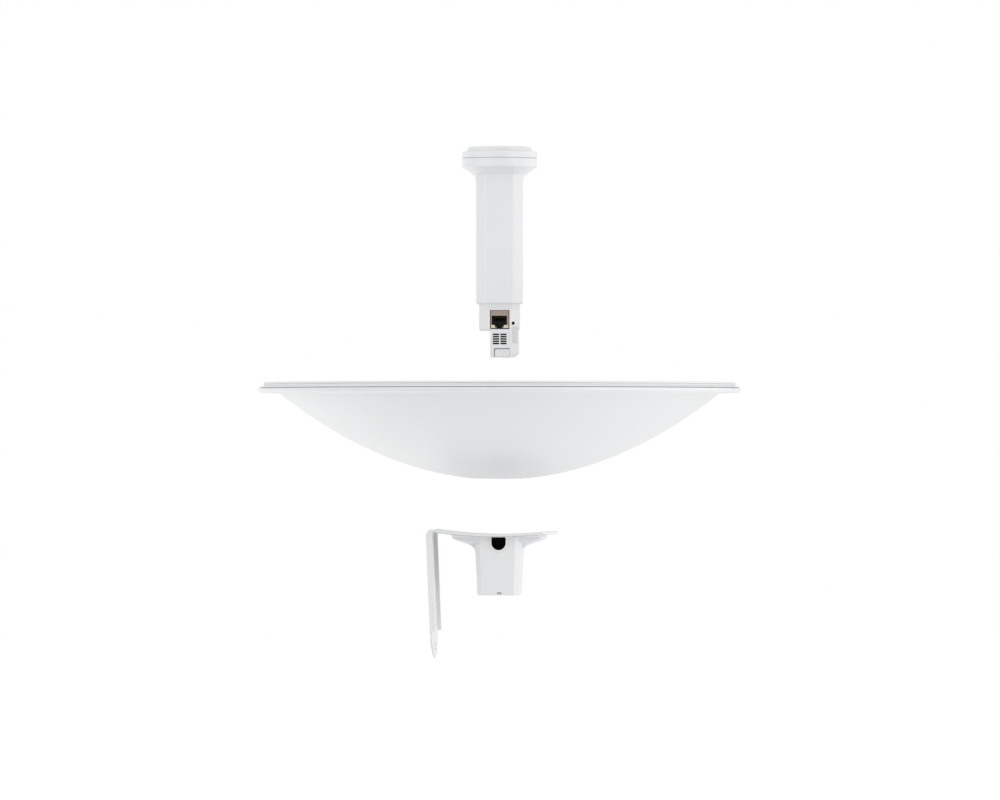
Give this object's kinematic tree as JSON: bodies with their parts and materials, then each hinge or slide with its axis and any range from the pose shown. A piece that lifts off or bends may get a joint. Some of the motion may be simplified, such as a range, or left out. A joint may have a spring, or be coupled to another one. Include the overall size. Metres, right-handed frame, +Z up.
{
  "type": "parabolic dish antenna",
  "caption": "Parabolic dish antenna in exploded view: a stemmed feed with a modular jack, a round reflector, and an angled wall or pole bracket with a plug-in rear housing.",
  "frame": {"origin": "on the outer flat face of the bracket's arm, at mid width, 85 mm below the dish's outer vertex", "axes": "+Z up along the common axis of feed, dish and mount; +X to the right and +Y away from the viewer, as in the picture. The bracket's arm is on the -X side and the jack faces -Y"},
  "size_m": [0.4224, 0.4224, 0.4484],
  "materials": {
    "white_powder_coat": "fine satin powder coat on sheet metal",
    "white_moulded_plastic": "satin moulded plastic",
    "light_grey_seal": "matt seal ring",
    "grey_window": "smooth translucent-looking strip",
    "tinned_steel": "bright tinned sheet",
    "black_plastic": "matt black moulding",
    "gilt_contact": "gold flash on bronze wire",
    "black_rubber": "matt black sheet",
    "dark_mesh": "matt dark screen",
    "zinc_plated_steel": "bright zinc plate"
  },
  "bodies": {
    "mount": {"rear_housing": "white_moulded_plastic", "socket_liner": "black_rubber", "mount_bracket": "white_powder_coat", "housing_screw_1": "zinc_plated_steel", "housing_screw_2": "zinc_plated_steel", "housing_screw_3": "zinc_plated_steel", "housing_screw_4": "zinc_plated_steel"},
    "dish": {"dish_reflector": "white_powder_coat"},
    "feed": {"feed_lid": "white_moulded_plastic", "feed_cap": "white_moulded_plastic", "head_seal": "light_grey_seal", "feed_column": "white_moulded_plastic", "feed_base": "white_moulded_plastic", "vent_screen": "dark_mesh", "jack_shield": "tinned_steel", "jack_insert": "black_plastic", "jack_contacts": "gilt_contact", "reset_button": "black_plastic", "status_window": "grey_window", "release_tab": "white_moulded_plastic"}
  },
  "joints": [
    {"name": "dish_slide", "type": "slide", "parent": "mount", "child": "dish", "axis": [0, 0, 1], "range_m": [-0.0486, 0]},
    {"name": "feed_slide", "type": "slide", "parent": "dish", "child": "feed", "axis": [0, 0, 1], "range_m": [-0.1509, 0]}
  ]
}
